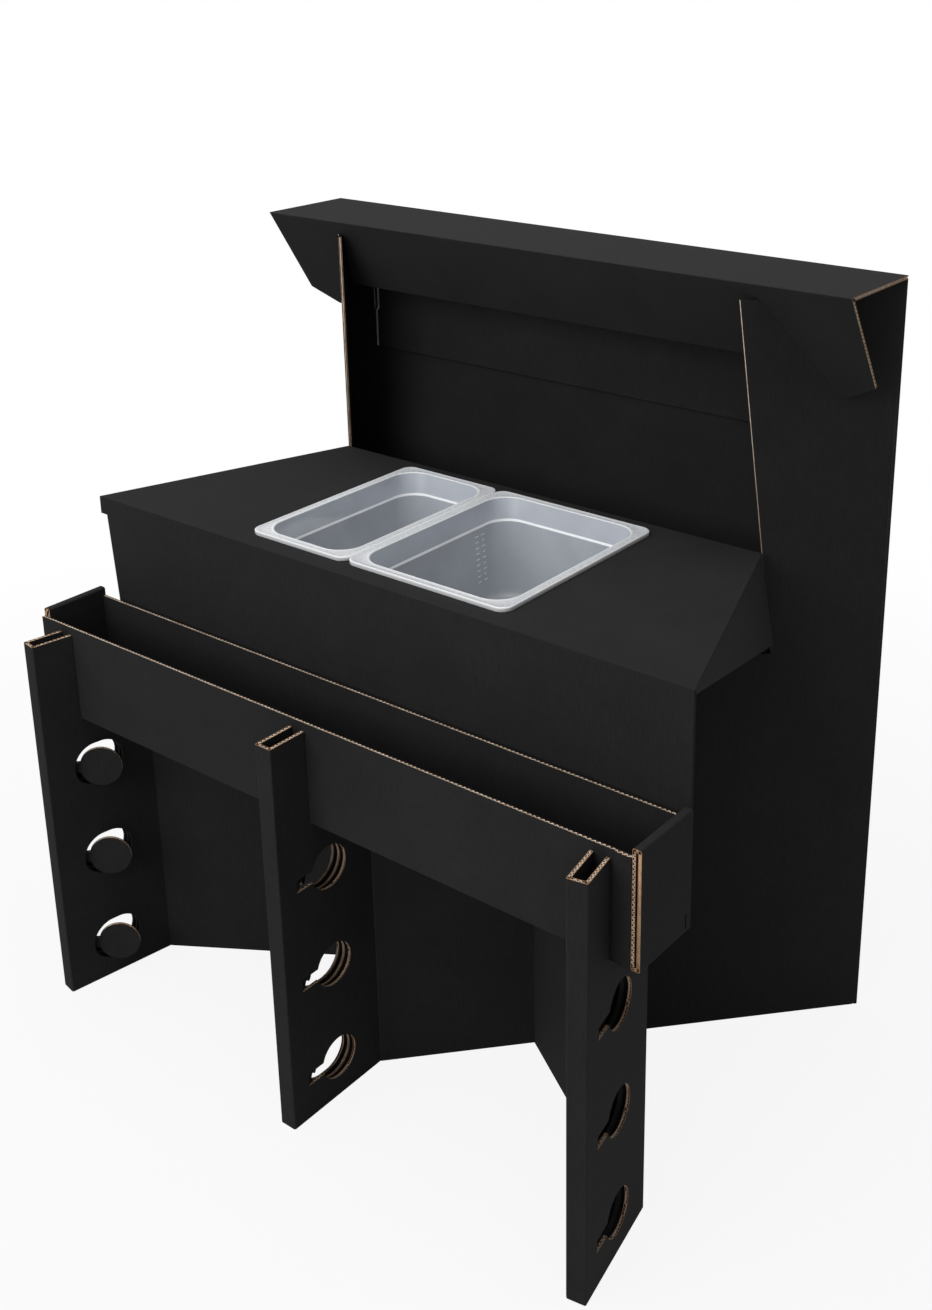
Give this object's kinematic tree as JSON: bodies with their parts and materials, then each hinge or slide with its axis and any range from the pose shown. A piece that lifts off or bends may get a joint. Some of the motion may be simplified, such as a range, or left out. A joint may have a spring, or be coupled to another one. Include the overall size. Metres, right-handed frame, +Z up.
{
  "type": "folding portable bar",
  "caption": "Free-standing folding bar of black corrugated board with a sloped shelf lid, wings, a counter with drop-in pans, a lift-off bottle rail and fin legs with lock flaps.",
  "frame": {"origin": "centre of the bounding box on the floor", "axes": "+X to the server's right, +Y towards the customer, +Z up"},
  "size_m": [1.028, 0.681, 1.095],
  "materials": {
    "black_board": "matte printed liner with tan cut edges",
    "clear_plastic": "translucent moulded"
  },
  "bodies": {
    "carcass": {"rear_panel": "black_board", "right_side_wall": "black_board", "left_side_wall": "black_board", "centre_leg": "black_board", "right_leg": "black_board", "left_leg": "black_board", "centre_leg_tongue": "black_board", "right_leg_tongue": "black_board", "left_leg_tongue": "black_board", "right_brace": "black_board", "left_brace": "black_board", "bottle_ledge": "black_board"},
    "counter": {"counter_tray": "black_board"},
    "right_skirt": {"right_counter_skirt": "black_board"},
    "left_skirt": {"left_counter_skirt": "black_board"},
    "narrow_pan": {"narrow_pan": "clear_plastic"},
    "wide_pan": {"wide_pan": "clear_plastic"},
    "rail": {"rail_trough": "black_board", "rail_right_end": "black_board", "rail_left_end": "black_board"},
    "lid": {"shelf_lid": "black_board"},
    "left_leg_flap_low": {"left_leg_flap_low": "black_board"},
    "left_leg_flap_mid": {"left_leg_flap_mid": "black_board"},
    "left_leg_flap_high": {"left_leg_flap_high": "black_board"},
    "centre_leg_flap_low": {"centre_leg_flap_low": "black_board"},
    "centre_leg_flap_mid": {"centre_leg_flap_mid": "black_board"},
    "centre_leg_flap_high": {"centre_leg_flap_high": "black_board"},
    "right_leg_flap_low": {"right_leg_flap_low": "black_board"},
    "right_leg_flap_mid": {"right_leg_flap_mid": "black_board"},
    "right_leg_flap_high": {"right_leg_flap_high": "black_board"}
  },
  "joints": [
    {"name": "counter_lift", "type": "slide", "parent": "carcass", "child": "counter", "axis": [0, -0.0911, 0.9958], "range_m": [0, 0.08]},
    {"name": "right_skirt_fold", "type": "hinge", "parent": "counter", "child": "right_skirt", "pos_m": [0.37277, 0.2105, 0.7272], "axis": [0.3286, -0.9445, 0], "range_deg": [0, 80]},
    {"name": "left_skirt_fold", "type": "hinge", "parent": "counter", "child": "left_skirt", "pos_m": [-0.37277, 0.2105, 0.7272], "axis": [0.3286, 0.9445, 0], "range_deg": [0, 80]},
    {"name": "narrow_pan_lift", "type": "slide", "parent": "counter", "child": "narrow_pan", "axis": [0, 0, 1], "range_m": [0, 0.16]},
    {"name": "wide_pan_lift", "type": "slide", "parent": "counter", "child": "wide_pan", "axis": [0, 0, 1], "range_m": [0, 0.16]},
    {"name": "rail_lift", "type": "slide", "parent": "carcass", "child": "rail", "axis": [0, 0, 1], "range_m": [0, 0.14]},
    {"name": "lid_lift", "type": "slide", "parent": "carcass", "child": "lid", "axis": [0, 0, 1], "range_m": [0, 0.23]},
    {"name": "left_flap_low_swing", "type": "hinge", "parent": "carcass", "child": "left_leg_flap_low", "pos_m": [-0.47389, -0.30693, 0.06], "axis": [0, 0, -1], "range_deg": [-38, 10]},
    {"name": "left_flap_mid_swing", "type": "hinge", "parent": "carcass", "child": "left_leg_flap_mid", "pos_m": [-0.47389, -0.30693, 0.2095], "axis": [0, 0, -1], "range_deg": [-38, 10]},
    {"name": "left_flap_high_swing", "type": "hinge", "parent": "carcass", "child": "left_leg_flap_high", "pos_m": [-0.47389, -0.30693, 0.359], "axis": [0, 0, -1], "range_deg": [-38, 10]},
    {"name": "centre_flap_low_swing", "type": "hinge", "parent": "carcass", "child": "centre_leg_flap_low", "pos_m": [0.0085, -0.3102, 0.06], "axis": [0, 0, 1], "range_deg": [-38, 10]},
    {"name": "centre_flap_mid_swing", "type": "hinge", "parent": "carcass", "child": "centre_leg_flap_mid", "pos_m": [0.0085, -0.3102, 0.2095], "axis": [0, 0, 1], "range_deg": [-38, 10]},
    {"name": "centre_flap_high_swing", "type": "hinge", "parent": "carcass", "child": "centre_leg_flap_high", "pos_m": [0.0085, -0.3102, 0.359], "axis": [0, 0, 1], "range_deg": [-38, 10]},
    {"name": "right_flap_low_swing", "type": "hinge", "parent": "carcass", "child": "right_leg_flap_low", "pos_m": [0.47389, -0.30693, 0.06], "axis": [0, 0, 1], "range_deg": [-38, 10]},
    {"name": "right_flap_mid_swing", "type": "hinge", "parent": "carcass", "child": "right_leg_flap_mid", "pos_m": [0.47389, -0.30693, 0.2095], "axis": [0, 0, 1], "range_deg": [-38, 10]},
    {"name": "right_flap_high_swing", "type": "hinge", "parent": "carcass", "child": "right_leg_flap_high", "pos_m": [0.47389, -0.30693, 0.359], "axis": [0, 0, 1], "range_deg": [-38, 10]}
  ]
}
